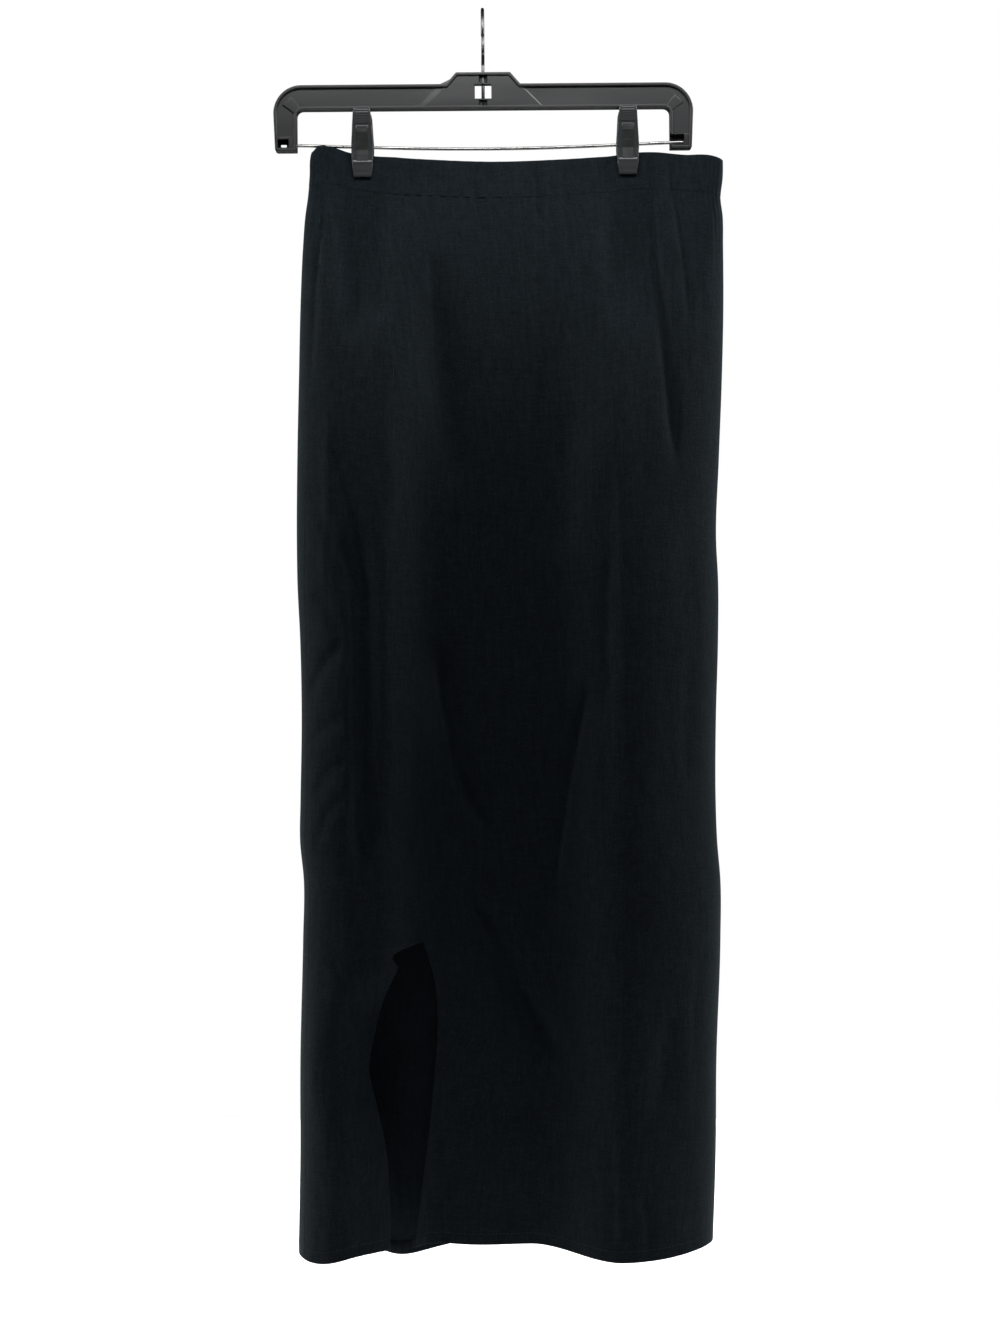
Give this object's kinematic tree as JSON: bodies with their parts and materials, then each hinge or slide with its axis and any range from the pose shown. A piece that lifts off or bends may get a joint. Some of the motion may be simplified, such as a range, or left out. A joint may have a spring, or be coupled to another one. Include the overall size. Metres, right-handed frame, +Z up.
{
  "type": "maxi skirt on clip hanger",
  "caption": "Straight ankle-length skirt with a narrow waistband and an open front slit, held at the waist by the pinch clips of a bottoms hanger.",
  "frame": {"origin": "top of the hollow of the hanger's hook, where a rail bears", "axes": "+Z up, the skirt's front faces -Y, +X to the viewer's right along the waist"},
  "size_m": [0.3815, 0.0964, 1.0538],
  "materials": {
    "black_cloth": "matt black plain weave with uneven yarns, like linen",
    "black_plastic": "moulded black plastic, softly glossy, with recessed faces between raised rims",
    "bright_steel": "bright drawn steel wire",
    "dark_steel": "darkened steel wire and spring strip"
  },
  "bodies": {
    "root": {"waistband": "black_cloth", "front_side_panel": "black_cloth", "front_main_panel": "black_cloth", "back_panel": "black_cloth", "hanger_frame": "black_plastic", "hanger_hook": "dark_steel", "clip_rod": "bright_steel", "clip_left_front_jaw": "black_plastic", "clip_left_back_jaw": "black_plastic", "clip_left_spring": "dark_steel", "clip_right_front_jaw": "black_plastic", "clip_right_back_jaw": "black_plastic", "clip_right_spring": "dark_steel"}
  },
  "joints": []
}
